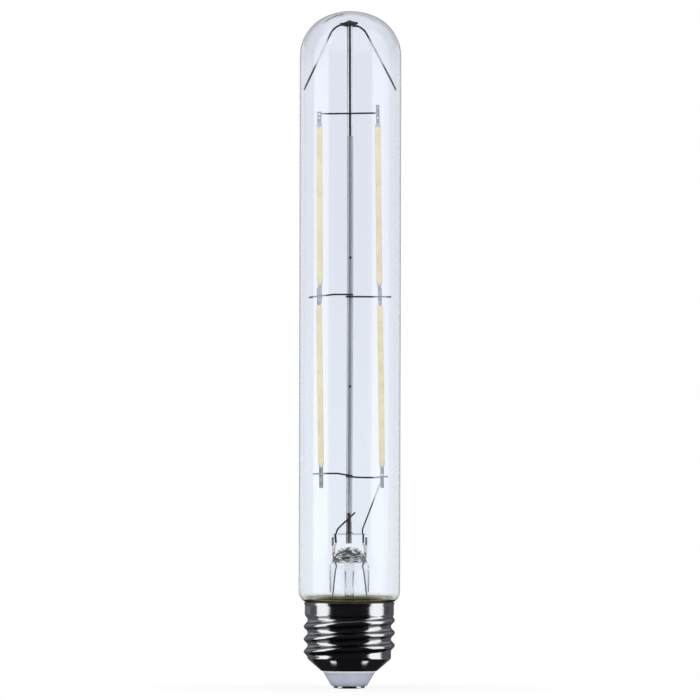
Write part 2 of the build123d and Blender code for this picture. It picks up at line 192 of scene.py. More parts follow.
stem_sides = 96
stem_radius = 5.8
stem_bore = 5.42
flare_top = 28
press_start = 33.5
press_end = 39.0
pressed_wall = 0.4
hollow_foot = 35.0
hollow_top = 40.7
hollow_steps = 40
head_half_width = 5.15
head_half_depth = 2.7
head_shoulder = 43.9
head_steps = 20
edge_rounding = 0.8
edge_steps = 7
head_top = head_shoulder + edge_rounding


def oval(half_width, half_depth, power, z):
    """Ring of the stem at one height: round where power is 2, boxy where it is more."""
    if half_width == 0:
        return [(0, 0, z)]
    ring = []
    for i in range(stem_sides):
        c, s = cos(2 * pi * i / stem_sides), sin(2 * pi * i / stem_sides)
        x = half_width * abs(c) ** (2 / power) * (1 if c > 0 else -1)
        y = half_depth * abs(s) ** (2 / power) * (1 if s > 0 else -1)
        ring.append((x, y, z))
    return ring


def eased(value, low, high):
    """Smooth rise from 0 to 1 between two values."""
    share = min(max((value - low) / (high - low), 0), 1)
    return share * share * (3 - 2 * share)


def pressed_depth(z):
    """Half the stem's depth at one height: round below the jaws, flat between them."""
    return stem_radius - (stem_radius - head_half_depth) * eased(z, press_start, press_end)


stem_rings = [oval(0, 0, 2, hollow_top)]
for i in range(1, hollow_steps + 1):
    turn = pi / 2 * i / hollow_steps
    z = hollow_foot + (hollow_top - hollow_foot) * cos(turn)
    half = stem_bore * sin(turn)
    ring = oval(half, min(half, pressed_depth(z) - pressed_wall), 2 + 0.6 * eased(z, 34, 39), z)
    crumple = 0.5 * sin(pi * min(i / 30, 1))
    for j, (x, y, z) in enumerate(ring):
        wave = sin(0.131 * j + 0.45 * i) * sin(0.83 * i + 0.4) + 0.5 * sin(0.262 * j - 1.1 * i)
        fold = crumple * wave
        ring[j] = (x * (1 + 0.04 * fold), y * (1 + 0.1 * fold), z + 0.7 * fold)
    stem_rings.append(ring)
hollow_points = 1 + hollow_steps * stem_sides
flare_inside = [(stem_bore, flare_top), (stem_bore, 21.4), (5.65, 20.2), (9.2, 16.2), (9.6, 15.95)]
flare_rim = [(10.25, 15.9), (10.38, 16.05), (10.38, 16.35), (10.25, 16.48)]
flare_outside = [(9.55, 16.6), (6.1, 20.7), (stem_radius, 21.8), (stem_radius, flare_top)]
stem_rings += [oval(r, r, 2, z) for r, z in flare_inside + flare_rim + flare_outside]
for i in range(head_steps + 1):
    z = press_start + (head_shoulder - press_start) * i / head_steps
    half = stem_radius - 0.85 * eased(z, 34.6, 37.4) + 0.2 * eased(z, 38, 42)
    stem_rings.append(oval(half, pressed_depth(z), 2 + 2 * eased(z, 34.5, 40), z))
for i in range(1, edge_steps + 1):
    turn = pi / 2 * i / edge_steps
    shrink = edge_rounding * (1 - cos(turn))
    z = head_shoulder + edge_rounding * sin(turn)
    stem_rings.append(oval(head_half_width - shrink, head_half_depth - shrink, 4 - i / edge_steps, z))
meniscus = [(1.5, 44.72), (1.1, 44.8), (0.9, 45.05), (0, 45.06)]
stem_rings += [oval(r, r, 2, z) for r, z in meniscus]
stem = skin("glass_stem_piece", stem_rings, sharp=60)
hollow = stem.data.attributes.new("hollow", "FLOAT", "POINT")
for i in range(hollow_points):
    hollow.data[i].value = 1

stem_glass, start, surface = finish_of("stem_glass")
height = start.place("Z")
inside = start.node("ShaderNodeAttribute", {"attribute_name": "hollow"}, out="Fac")
# Dark strokes painted into the glass tint over the crumpled top of the hollow are painted shade for the
# dark lines its folds show.
folded = inside * height.ease(35.9, 36.5)
side = start.place("X")
depth = start.place("Y")
layer = (height - 37.9) * (1 + 0.045 * side * side)
across = start.node("ShaderNodeCombineXYZ", {}, {0: 0.45 * side, 2: 2.9 * layer})
strokes = start.node("ShaderNodeTexNoise", {}, {"Vector": across, "Scale": 1.0, "Detail": 1.5})
painted_fold_shade = folded * strokes.ease(0.46, 0.50)
from_axis = start.maths("SQRT", side * side + depth * depth)
# A near-black ring painted round the rod where it leaves the head top is painted shade at the meniscus.
painted_meniscus_shade = (1 - from_axis.ease(1.1, 1.35)) * height.ease(head_top - 0.2, head_top)
# The outer top edge of the head is painted darker: painted shade along that edge.
top_edge = height.ease(head_top - 0.4, head_top - 0.25) - height.ease(head_top - 0.04, head_top)
top_edge = (1 - inside) * top_edge
clear = top_edge.tint((1, 1, 1, 1), (0.25, 0.25, 0.27, 1))
press_marks = start.grain(260, (1, 1, 0.35), 2.0) * height.ease(33, 38)
start.feed(
    surface,
    {
        "Base Color": (painted_fold_shade + painted_meniscus_shade).tint(clear, (0.010, 0.010, 0.005, 1)),
        "Roughness": 0.005 + 0.02 * press_marks,
        "IOR": 1.36,
        "Transmission Weight": 1.0,
        "Normal": (0.12 * press_marks + 0.25 * painted_fold_shade).relief(0.8, 0.5 * mm),
    },
)
dress(stem, stem_glass, "clear_glass", "glass_stem")
stem.visible_shadow = False


# Exhaust tube
# The thin glass tube on the axis, fused into the hollow of the stem. The lamp is
# emptied and filled through it, and its lower end is then melted off inside the base.


def turned(name, outline, closed=False, sides=128, sharp=40):
    """Piece turned round the axis from radius, height and corner rounding in millimetres."""
    corner_steps = 8
    path = []
    for i, corner in enumerate(outline):
        here = Vector(corner[:2])
        ease = corner[2] if len(corner) > 2 else 0
        if not ease:
            path.append(here)
            continue
        back = (Vector(outline[i - 1][:2]) - here).normalized()
        ahead = (Vector(outline[(i + 1) % len(outline)][:2]) - here).normalized()
        for step in range(corner_steps + 1):
            t = step / corner_steps
            path.append(here + back * ease * (1 - t) ** 2 + ahead * ease * t**2)
    rings = []
    for r, z in path:
        ring = [(r * cos(2 * pi * i / sides), r * sin(2 * pi * i / sides), z) for i in range(sides)]
        rings.append(ring if r > 1e-6 else [(0, 0, z)])
    return skin(name, rings, closed, sharp)


exhaust_radius = 1.35
exhaust_bore = 1.0
exhaust_top = 37.2
exhaust = turned(
    "exhaust_tube_piece",
    [
        (0, 12.6),
        (0.5, 12.75, 0.1),
        (exhaust_bore, 13.6, 0.3),
        (exhaust_bore, exhaust_top, 0.1),
        (exhaust_radius, exhaust_top, 0.1),
        (exhaust_radius, 13.0, 1.0),
        (0.6, 11.6, 0.5),
        (0, 11.5),
    ],
    sides=48,
)
exhaust_glass, start, surface = finish_of("exhaust_glass")
draw_marks = start.grain(300, (1, 1, 0.05), 2.0)
start.feed(
    surface,
    {
        "Base Color": (1, 1, 1, 1),
        "Roughness": 0.005 + 0.01 * draw_marks,
        "IOR": 1.5,
        "Transmission Weight": 1.0,
        "Normal": draw_marks.relief(0.02, 0.1 * mm),
    },
)
dress(exhaust, exhaust_glass, "clear_glass", "exhaust_tube")
exhaust.visible_shadow = False


# Leads and seals
# Each lead is three wires butt-welded end to end: a stiff nickel wire above the pinch,
# a copper-clad wire that the pinch glass wets and seals to, and a thin tinned wire
# down to the driver. They are cut from coil, bent over pins and pressed in with the stem.


def wire_rule():
    """Geometry Nodes rule: a round wire along a row of points, bent at each of them."""
    tree = bpy.data.node_groups.new("bent_wire", "GeometryNodeTree")
    sockets = tree.interface
    sockets.new_socket("Route", in_out="INPUT", socket_type="NodeSocketGeometry")
    sockets.new_socket("Radius", in_out="INPUT", socket_type="NodeSocketFloat")
    sockets.new_socket("Bend", in_out="INPUT", socket_type="NodeSocketFloat")
    sockets.new_socket("Step", in_out="INPUT", socket_type="NodeSocketFloat")
    sockets.new_socket("Finish", in_out="INPUT", socket_type="NodeSocketMaterial")
    sockets.new_socket("Wire", in_out="OUTPUT", socket_type="NodeSocketGeometry")
    start = Shade(tree)
    given = start.node("NodeGroupInput")
    line = start.node("GeometryNodeMeshToCurve", {}, {"Mesh": given.of("Route")})
    line = start.node(
        "GeometryNodeFilletCurve",
        {"mode": "POLY"},
        {"Curve": line, "Count": 12, "Radius": given.of("Bend"), "Limit Radius": True},
    )
    line = start.node(
        "GeometryNodeResampleCurve", {"mode": "LENGTH"}, {"Curve": line, "Length": given.of("Step")}
    )
    ring = start.node(
        "GeometryNodeCurvePrimitiveCircle",
        {"mode": "RADIUS"},
        {"Resolution": 20, "Radius": given.of("Radius")},
    )
    wire = start.node(
        "GeometryNodeCurveToMesh", {}, {"Curve": line, "Profile Curve": ring, "Fill Caps": True}
    )
    wire = start.node("GeometryNodeSetShadeSmooth", {}, {"Geometry": wire})
    wire = start.node("GeometryNodeRealizeInstances", {}, {"Geometry": wire})
    wire = start.node(
        "GeometryNodeSetMaterial", {}, {"Geometry": wire, "Material": given.of("Finish")}
    )
    start.node("NodeGroupOutput", {}, {"Wire": wire})
    return tree


def grown(name, rule, points, sizes, wall=0):
    """Plain mesh piece that a Geometry Nodes rule makes from a row of points."""
    mesh = bpy.data.meshes.new(name)
    steps = [(i, i + 1) for i in range(len(points) - 1)]
    mesh.from_pydata([Vector(p) * mm for p in points], steps, [])
    piece = bpy.data.objects.new(name, mesh)
    bpy.context.collection.objects.link(piece)
    growth = piece.modifiers.new("rule", "NODES")
    growth.node_group = rule
    for item in rule.interface.items_tree:
        if item.in_out == "INPUT" and item.name in sizes:
            growth[item.identifier] = sizes[item.name]
    if wall:
        sheet = piece.modifiers.new("wall", "SOLIDIFY")
        sheet.thickness = wall * mm
        sheet.offset = -1
        sheet.use_even_offset = True
    ready = piece.evaluated_get(bpy.context.evaluated_depsgraph_get())
    piece.data = bpy.data.meshes.new_from_object(ready)
    piece.modifiers.clear()
    piece.data.name = name
    piece.data.set_sharp_from_angle(angle=radians(50))
    return piece


def wire(node, diameter, bend, material, slot, points):
    """Bent wire that stands for a node, with its diameter and bend radius in millimetres."""
    sizes = {"Radius": diameter / 2 * mm, "Bend": bend * mm, "Step": 0.4 * mm, "Finish": material}
    dress(grown(node + "_piece", bent_wire, points, sizes), material, slot, node)


bent_wire = wire_rule()
left_lead_x = -3.7
right_lead_x = 3.75
seal_foot = 35.2
seal_head = 42
driver_height = 6.36

nickel_wire, start, surface = finish_of("nickel_wire")
drawn_lines = start.grain(900, (1, 1, 0.2))
reach = start.maths("ABSOLUTE", start.place("X"))
height = start.place("Z")
# Near the tabs and on the middle of the spring arms the wire is painted pale grey: painted highlight where
# the glass's bright bands lie over it.
near_tabs = reach.ease(6.5, 7.5) * (1 - reach.ease(10.3, 11.0)) * (1 - height.ease(168, 169))
mid_arm = height.ease(178.5, 181.0) * (1 - height.ease(185.8, 188.0))
bright = near_tabs + mid_arm * (1.0 - 0.35 * start.place("X").ease(-1, 1))
# The nickel itself is painted nearly black, with drawn lines in it: painted dark reflection.
nickel_in_painted_shade = drawn_lines.ease(0.3, 0.7).tint((0.006, 0.006, 0.007, 1), (0.025, 0.025, 0.028, 1))
start.feed(
    surface,
    {
        "Base Color": bright.tint(nickel_in_painted_shade, (0.70, 0.70, 0.72, 1)),
        "Metallic": 1.0 - 0.85 * mid_arm,
        "Roughness": 0.2 + 0.15 * drawn_lines,
        "Normal": drawn_lines.relief(0.15, 0.02 * mm),
    },
)
wire(
    "left_inner_lead", diameter=0.5, bend=3.0, material=nickel_wire, slot="wire_metal",
    points=[(left_lead_x, 0, seal_head), (-3.95, 0, 45.5), (1.6, -1.62, 50.75)],
)
wire(
    "right_inner_lead", diameter=0.42, bend=1.0, material=nickel_wire, slot="wire_metal",
    points=[(right_lead_x, 0, seal_head), (right_lead_x, 0, 45.9), (8.9, -1.19, 59.4), (8.9, -1.19, 60.3)],
)

seal_copper, start, surface = finish_of("copper_clad_wire")
oxide = start.grain(700, (1, 1, 0.5))
# The seal wires are painted dark below about 39 mm.
upper_seal_part = start.place("Z").ease(38.9, 39.5)
# The copper tint is lifted to pinkish white: copper with a painted highlight.
copper = oxide.ease(0.35, 0.65).tint((0.80, 0.66, 0.63, 1), (0.97, 0.88, 0.86, 1))
start.feed(
    surface,
    {
        "Base Color": upper_seal_part.tint((0.16, 0.10, 0.10, 1), copper),
        "Metallic": 0.5,
        "Roughness": 0.28 + 0.2 * oxide,
    },
)
for node, x in (("left_seal_wire", left_lead_x), ("right_seal_wire", right_lead_x)):
    bowed = x * 1.1
    wire(
        node, diameter=0.5, bend=2.0, material=seal_copper, slot="seal_copper",
        points=[(x, 0, seal_foot), (bowed, 0, 36.8), (bowed, 0, 40.8), (x, 0, seal_head)],
    )

tinned_wire, start, surface = finish_of("tinned_wire")
dip_ripple = start.grain(600, (1, 1, 0.3))
start.feed(
    surface,
    {
        "Base Color": dip_ripple.ease(0.3, 0.7).tint((0.07, 0.07, 0.075, 1), (0.15, 0.15, 0.16, 1)),
        "Metallic": 1.0,
        "Roughness": 0.3 + 0.2 * dip_ripple,
        "Normal": dip_ripple.relief(0.2, 0.03 * mm),
    },
)
for node, x, knee, foot in (
    ("left_outer_lead", left_lead_x, -4.9, -5.4),
    ("right_outer_lead", right_lead_x, 5.1, 5.4),
):
    wire(
        node, diameter=0.4, bend=8.0, material=tinned_wire, slot="lead_metal",
        points=[(x, 0, seal_foot), (knee, 0, 26), (foot, 0, driver_height)],
    )


# Centre rod
# The polished steel rod that stands in the pinch head and carries the whole mount,
# bowed a little by its welds. Its foot is darkened by the pressing flame, with painted
# shade down its middle and a painted glint on its right side; a painted dark line of
# shade runs down its left edge, and its top is left bare.

rod_radius = 0.8
rod_foot = 41.8
rod_top = 192.8
bow_middle = 112
bow_rate = 0.00004
bow_step = 9


def bow(piece):
    """Curve a piece of the mount sideways by the rod's slight bow."""
    for point in piece.data.vertices:
        from_middle = point.co.z / mm - bow_middle
        point.co.x -= bow_rate * from_middle**2 * mm


rod = turned(
    "centre_rod_piece",
    [(0, rod_foot), (rod_radius, rod_foot, 0.2)]
    + [(rod_radius, 45 + bow_step * i) for i in range(17)]
    + [(rod_radius, rod_top, 0.4), (0, rod_top)],
    sides=48,
)
bow(rod)
rod_steel, start, surface = finish_of("rod_steel")
height = start.place("Z")
scale_spots = start.grain(520, (1, 1, 0.6))
side = start.place("X")
# Over the flame-darkened foot, painted shade is laid down the middle and a painted glint on the right
# side.
painted_side_glint = side.ease(0.35, 0.55) * height.ease(47.4, 48.6)
in_glass = 1 - height.ease(head_top - 0.5, head_top - 0.1)
painted_middle_shade = 0.68 + 0.32 * side.ease(-0.62, -0.42) - 0.18 * side.ease(0.05, 0.3)
flame_dark_and_painted_shade = (1 - height.ease(50.0, 56.0)) * (1 - 0.75 * painted_side_glint) * (1 - 0.1 * in_glass) * painted_middle_shade
# A dark line down the rod's left edge is painted shade.
painted_edge_shade = 1 - side.ease(-0.84, -0.76)
steel = painted_edge_shade.tint((0.82, 0.81, 0.79, 1), (0.10, 0.11, 0.11, 1))
start.feed(
    surface,
    {
        "Base Color": (flame_dark_and_painted_shade * (0.8 + 0.4 * scale_spots)).tint(steel, (0.02, 0.017, 0.015, 1)),
        "Metallic": 1.0,
        "Roughness": 0.02 + 0.22 * flame_dark_and_painted_shade + 0.03 * scale_spots,
        "Normal": start.grain(1500, (1, 1, 0.05)).relief(0.05, 0.02 * mm),
    },
)
dress(rod, rod_steel, "rod_metal", "centre_rod")


# Rod sleeve
# A thin grey sleeve slipped over the rod before the top wires are welded on. It keeps
# the middle and bottom wires apart from the rod, which is live.

sleeve_radius = 0.92
sleeve_bore = 0.82
sleeve_foot = 50.6
sleeve_top = 159.2


def round_marks(start, spots, whole, gone):
    """Share of the round marks about some spots, whole within one distance and gone at the other."""
    where = start.node("ShaderNodeTexCoord", out="Object")
    marks = 0
    for spot in spots:
        between = {0: where, 1: Vector(spot) * mm}
        reach = start.node("ShaderNodeVectorMath", {"operation": "DISTANCE"}, between, out="Value")
        marks = marks + (1 - (reach / mm).ease(whole, gone))
    return marks


sleeve = turned(
    "rod_sleeve_piece",
    [(sleeve_bore, 158 - bow_step * i) for i in range(12)]
    + [(sleeve_bore, sleeve_foot), (sleeve_radius, sleeve_foot, 0.05)]
    + [(sleeve_radius, 59 + bow_step * i) for i in range(12)]
    + [(sleeve_radius, sleeve_top, 0.05), (sleeve_bore, sleeve_top)],
    closed=True,
    sides=48,
)
bow(sleeve)
sleeve_grey, start, surface = finish_of("satin_sleeve")
drawn = start.grain(1100, (1, 1, 0.03))
cloud = start.grain(70, (1, 1, 0.5))
mottle = (0.6 * drawn + 0.4 * cloud).ease(0.3, 0.7)
grey = mottle.tint((0.45, 0.46, 0.49, 1), (0.53, 0.54, 0.57, 1))
nick_spots = ((0.1, -sleeve_radius, 124.15), (0.05, -sleeve_radius, 87.1))
nick = round_marks(start, nick_spots, 0.28, 0.5)
start.feed(
    surface,
    {
        "Base Color": nick.tint(grey, (0.02, 0.02, 0.02, 1)),
        "Metallic": 0.62,
        "Roughness": 0.12 + 0.1 * cloud,
        "Normal": drawn.relief(0.12, 0.02 * mm),
    },
)
dress(sleeve, sleeve_grey, "sleeve_grey", "rod_sleeve")


# Spring arms and cross wires
# Hard nickel wires spot-welded across the rod or its sleeve. The two bent arms at the
# top spring against the glass and centre the mount; the straight ones below carry the
# filament ends and take the current from one to the next.

arm_diameter = 0.55
arm_reach = 13.33
arm_tip = 172.4
for node, side, y, tail, bend in (
    ("left_spring_arm", -1, -1.095, (2.1, 191.8), (-4.55, 191.25)),
    ("right_spring_arm", 1, 1.095, (-3.1, 191.7), (3.4, 191.05)),
):
    slope = (bend[1] - tail[1]) / (bend[0] - tail[0])
    route = [(tail[0], y, tail[1]), (bend[0], y, bend[1]), (side * arm_reach, y, arm_tip)]
    sizes = {"Radius": arm_diameter / 2 * mm, "Bend": 5.0 * mm, "Step": 0.3 * mm, "Finish": nickel_wire}
    arm = grown(node + "_piece", bent_wire, route, sizes)
    for point in arm.data.vertices:
        x, y_now, z = point.co / mm
        run = side * (x - tail[0])
        pressed = (0.1 + 0.9 * eased(run, 0, 2.4)) * (1 - eased(run, 2.6, 5.4))
        middle = tail[1] + slope * (x - tail[0])
        point.co.z = (middle + (z - middle) * (1 + 1.9 * pressed)) * mm
        point.co.y = (y + (y_now - y) * (1 - 0.4 * pressed)) * mm
    dress(arm, nickel_wire, "wire_metal", node)
for node, y, route in (
    ("top_cross_wire", -1.035, ((-9.22, 165.55), (8.15, 165.82))),
    ("middle_left_wire", -1.155, ((0.9, 113.52), (-4.4, 113.56), (-8.7, 113.05), (-11.8, 112.64))),
    ("middle_right_wire", -1.155, ((-1.3, 112.92), (11.8, 112.87))),
    ("bottom_left_wire", -1.155, ((0.9, 61.25), (-3.4, 61.98), (-7.2, 61.97), (-10.6, 61.8))),
    ("bottom_right_wire", -1.155, ((-1.1, 61.2), (2.2, 60.86), (7.0, 60.8), (10.95, 61.1))),
):
    wire(
        node, diameter=0.5, bend=6.0, material=nickel_wire, slot="wire_metal",
        points=[(x, y, z) for x, z in route],
    )


# Filaments and their tabs
# Each filament is a narrow strip of small light chips, coated all round with yellow
# phosphor in silicone. A stamped tab of plated steel is crimped into each end of it
# and spot-welded to a cross wire.

# Each row: where the foot and the head are welded, how far above the foot the coating
# begins, and how far the lower and the upper tab reach past their welds.
filaments = {
    "upper_left": ((-8.66, -0.82, 113.22), (-8.92, -1.37, 165.7), 2.52, 2.2, 0.5),
    "upper_right": ((8.5, -0.82, 113.22), (7.85, -1.37, 165.7), 2.52, 2.2, 2.5),
    "lower_left": ((-8.2, -0.82, 61.2), (-8.95, -0.56, 113.22), 2.4, 3.4, 2.2),
    "lower_right": ((9.35, -0.82, 61.2), (8.65, -0.56, 113.22), 2.4, 3.4, 2.2),
}
filament_length = 47.1
filament_sides = 32
filament_squareness = 0.62
chip_pitch = 1.55
tab_overlap = 0.8
tab_corner = 0.14
tab_corner_steps = 4
tab_half_sheet = 0.1
tab_bevel = 0.03

phosphor, start, surface = finish_of("phosphor_coating")
strip = start.node("ShaderNodeUVMap", {"uv_map": "strip"})
across = start.node("ShaderNodeSeparateXYZ", {}, {0: strip}, out="X")
run = start.node("ShaderNodeSeparateXYZ", {}, {0: strip}, out="Y")
from_axis = start.maths("ABSOLUTE", across)
lumps = start.grain(300)
chips = start.maths("FRACT", run / chip_pitch)
chip_glow = chips.ease(0.1, 0.35) - chips.ease(0.65, 0.9)
bare_foot = 1 - (run - 1.8 * from_axis).ease(0.0, 0.35)
capped = start.place("Z").ease(130, 150)
bare_head = 1 - (filament_length - run + 0.1 * from_axis - 0.75 * capped).ease(0.25, 0.5)
bare_end = start.maths("MAXIMUM", bare_foot, bare_head)
warm = run.ease(filament_length, 0.0).tint((0.815, 0.725, 0.40, 1), (0.795, 0.657, 0.367, 1))
pale = run.ease(filament_length, 0.0).tint((0.90, 0.805, 0.495, 1), (0.88, 0.74, 0.448, 1))
coat = (0.8 * lumps + 0.08 * chip_glow).ease(0.25, 0.6).tint(warm, pale)
# The lower pair of filaments is a little darker and warmer.
coat = (0.03 + 0.05 * start.place("Z").ease(118, 108)).tint(coat, (0.2, 0.1, 0.0, 1))
start.feed(
    surface,
    {
        "Base Color": bare_end.tint(coat, (0.46, 0.48, 0.44, 1)),
        "Roughness": 0.42 + 0.2 * lumps,
        "Normal": (lumps + 0.15 * chip_glow).relief(0.2, 0.06 * mm),
    },
)

tab_steel, start, surface = finish_of("plated_tab")
stamped = start.grain(800)
height = start.place("Z")
# The tabs are lighter round the middle welds than at the foot and the top.
lighter_middle_tabs = height.ease(64, 110) * (1 - 0.45 * height.ease(125, 160))
stamped_and_height_tone = (stamped + 0.3 * lighter_middle_tabs).ease(0.3, 0.9)
plated = stamped_and_height_tone.tint((0.22, 0.23, 0.255, 1), (0.60, 0.61, 0.66, 1))
weld_spots = ((-8.9, -1.4, 165.5), (-8.9, -1.4, 164.3), (7.85, -1.4, 164.4), (9.3, -0.9, 61.6))
# White spots painted at four of the welds are painted highlights.
painted_weld_highlight = round_marks(start, weld_spots, 0.15, 0.45)
start.feed(
    surface,
    {
        "Base Color": painted_weld_highlight.tint(plated, (0.97, 0.97, 1.0, 1)),
        "Metallic": 0.55 - 0.4 * painted_weld_highlight,
        "Roughness": 0.4 + 0.2 * stamped,
        "Normal": stamped.relief(0.25, 0.04 * mm),
    },
)

for side, (low, high, body_low, low_end, high_end) in filaments.items():
    tab_half = 0.6 if "left" in side else 0.5
    low, high = Vector(low), Vector(high)
    along = (high - low).normalized()
    right = (Vector((1, 0, 0)) - along * along.x).normalized()
    back = along.cross(right) * -1
    span = (high - low).length

    from_end = (0, 0.05, 0.3, 0.8, 1.5, 2.2, 6, 14, filament_length / 2)
    runs = set(from_end) | {filament_length - run for run in from_end}
    rings = []
    for run in sorted(runs):
        tip = min(run, filament_length - run)
        if tip == 0:
            rings.append([low + along * (body_low + run)])
            continue
        taper = 1.5 if run < filament_length / 2 else 1.0
        full = 0.55 + 0.30 * eased(tip, 0, taper) - 0.18 * (1 - eased(tip, 0, 0.3))
        deep = 0.32 + 0.18 * eased(tip, 0, 1.8) - 0.12 * (1 - eased(tip, 0, 0.3))
        ring = []
        for i in range(filament_sides):
            turn = 2 * pi * i / filament_sides
            c, s = cos(turn), sin(turn)
            x = full * abs(c) ** filament_squareness * (1 if c > 0 else -1)
            y = deep * abs(s) ** filament_squareness * (1 if s > 0 else -1)
            ring.append(low + along * (body_low + run) + right * x + back * y)
        rings.append(ring)
    body = skin(side + "_filament_piece", rings, sharp=70)
    strip_map = body.data.uv_layers.new(name="strip")
    for loop in body.data.loops:
        place = body.data.vertices[loop.vertex_index].co / mm - low
        run = place.dot(along) - body_low
        strip_map.data[loop.index].uv = (place.dot(right), run)
    dress(body, phosphor, "filament_coating", side + "_filament")

    for end, begin, finish in (
        ("bottom_tab", -low_end, body_low + tab_overlap),
        ("top_tab", body_low + filament_length - tab_overlap, span + high_end),
    ):
        middle = (begin + finish) / 2
        outline = []
        for x, z, turn in (
            (tab_half, begin, -90),
            (tab_half, finish, 0),
            (-tab_half, finish, 90),
            (-tab_half, begin, 180),
        ):
            x += tab_corner * (-1 if x > 0 else 1)
            z += tab_corner * (1 if z == begin else -1)
            for step in range(tab_corner_steps + 1):
                angle = radians(turn + 90 * step / tab_corner_steps)
                outline.append((x + tab_corner * cos(angle), z + tab_corner * sin(angle)))
        rings = [[low + along * middle + back * tab_half_sheet]]
        for inset, depth in (
            (tab_bevel, tab_half_sheet),
            (0, tab_half_sheet - tab_bevel),
            (0, tab_bevel - tab_half_sheet),
            (tab_bevel, -tab_half_sheet),
        ):
            ring = []
            for x, z in outline:
                x -= inset * (1 if x > 0 else -1)
                z -= inset * (1 if z > middle else -1)
                ring.append(low + along * z + right * x + back * depth)
            rings.append(ring)
        rings.append([low + along * middle - back * tab_half_sheet])
        tab = skin(f"{side}_{end}_piece", rings, sharp=30)
        dress(tab, tab_steel, "tab_metal", f"{side}_{end}")


# Glass envelope
# The clear outer tube: drawn soft glass, its top worked to a dome and its lower end
# gathered to a rounded shoulder and a neck, which is fused to the foot of the stem.

tube_radius = 14.6
tube_wall = 0.9
neck_radius = 10.4
neck_foot = 16.5
shoulder_radius = 3.6
shoulder_height = 28.09
knuckle_radius = 12.7
knuckle_height = 182.13
knuckle_end = radians(68.13)
crown_radius = 17.8
crown_height = 177.4
# Centre height and radius of a dark arc painted on the front of the dome as a painted reflection.
painted_arc_radius = 12.45
painted_arc_height = 181.9


def bent_line(middle, height, radius, begin, end, steps):
    """Points of a round stretch of the glass's profile, from one angle to another."""
    turns = [begin + (end - begin) * i / steps for i in range(steps + 1)]
    return [(middle + radius * cos(turn), height + radius * sin(turn)) for turn in turns]


neck_bore = neck_radius - tube_wall
outer = [(neck_radius, neck_foot), (neck_radius, 24.2, 0.2), (10.9, shoulder_height - shoulder_radius)]
inner = [(neck_bore, neck_foot), (neck_bore, 25.1, 0.4)]
for profile, inset, steps in ((outer, 0, 14), (inner, tube_wall, 12)):
    middle = tube_radius - shoulder_radius
    profile += bent_line(middle, shoulder_height, shoulder_radius - inset, -pi / 2, 0, steps)
    profile += [(tube_radius - inset, z) for z in (60, 100, 140)]
    middle = tube_radius - knuckle_radius
    profile += bent_line(middle, knuckle_height, knuckle_radius - inset, 0, knuckle_end, 28)
    profile += bent_line(0, crown_height, crown_radius - inset, knuckle_end, pi / 2, 12)[1:-1]
    profile.append((0, crown_height + crown_radius - inset))
envelope = turned("glass_envelope_piece", inner[::-1] + outer, sides=192, sharp=60)
dome_middle = Vector((0, 0, 170)) * mm
outward = envelope.data.attributes.new("outward", "FLOAT", "POINT")
for i, point in enumerate(envelope.data.vertices):
    outward.data[i].value = point.normal.dot(point.co - dome_middle) > 0

envelope_glass, start, surface = finish_of("envelope_glass")
height = start.place("Z")
waves = start.grain(38, (1, 1, 0.08), 2.0)
shoulder = 1 - height.ease(25.2, 27.5)
tone = height.ease(40, 150).tint((0.927, 0.958, 1.0, 1), (0.898, 0.920, 0.975, 1))
side = start.place("X")
# The glass at the sides of the dome's shoulder is painted darker: painted shade.
painted_knuckle_shade = start.maths("ABSOLUTE", side).ease(4.0, 11.0) * height.ease(176, 186)
tone = painted_knuckle_shade.tint(tone, (0.84, 0.86, 0.91, 1))
# A thin dark arc painted on the front of the dome, left and right of the top, is a painted reflection.
rise = height - painted_arc_height
from_middle = start.maths("SQRT", side * side + rise * rise)
painted_reflection_arc = 1 - start.maths("ABSOLUTE", from_middle - painted_arc_radius).ease(0.08, 0.22)
left_run = side.ease(-8.4, -7.0) * (1 - side.ease(-2.6, -1.0))
right_run = side.ease(4.0, 5.5) * (1 - side.ease(6.5, 8.0))
outside = start.node("ShaderNodeAttribute", {"attribute_name": "outward"}, out="Fac")
facing = outside * (1 - start.place("Y").ease(-1, 0)) * height.ease(186, 187)
tone = (facing * painted_reflection_arc * (left_run + 0.5 * right_run)).tint(tone, (0.045, 0.047, 0.055, 1))
joint = (1 - start.maths("ABSOLUTE", side).ease(4.0, 7.0)) * height.ease(25.2, 25.6)
ripple = joint * (1 - height.ease(27.2, 28.4)) * start.grain(420, (0.5, 1, 1.6), 2.0).ease(0.48, 0.58)
tone = shoulder.tint(tone, (0.57, 0.58, 0.43, 1))
tone = ripple.tint(tone, (0.86, 0.90, 0.86, 1))
# A black line painted round the outside just above the shell's rim is a painted shadow.
painted_seat_shadow = outside * (height.ease(24.85, 24.95) - height.ease(25.3, 25.4))
start.feed(
    surface,
    {
        "Base Color": painted_seat_shadow.tint(tone, (0.001, 0.001, 0.001, 1)),
        "Roughness": 0.004 + 0.01 * waves,
        "IOR": 1.5,
        "Transmission Weight": 1.0,
        "Normal": waves.relief(0.008, 0.3 * mm),
    },
)
dress(envelope, envelope_glass, "clear_glass", "glass_envelope")
envelope.visible_shadow = False


# Driver in the base
# The small round board that feeds the filaments, soldered up with a bridge rectifier,
# a driver chip, an electrolytic can and a fusible resistor, and set on the insulator.
# Hidden in use, so its solids stay as they are and get their finishes here.

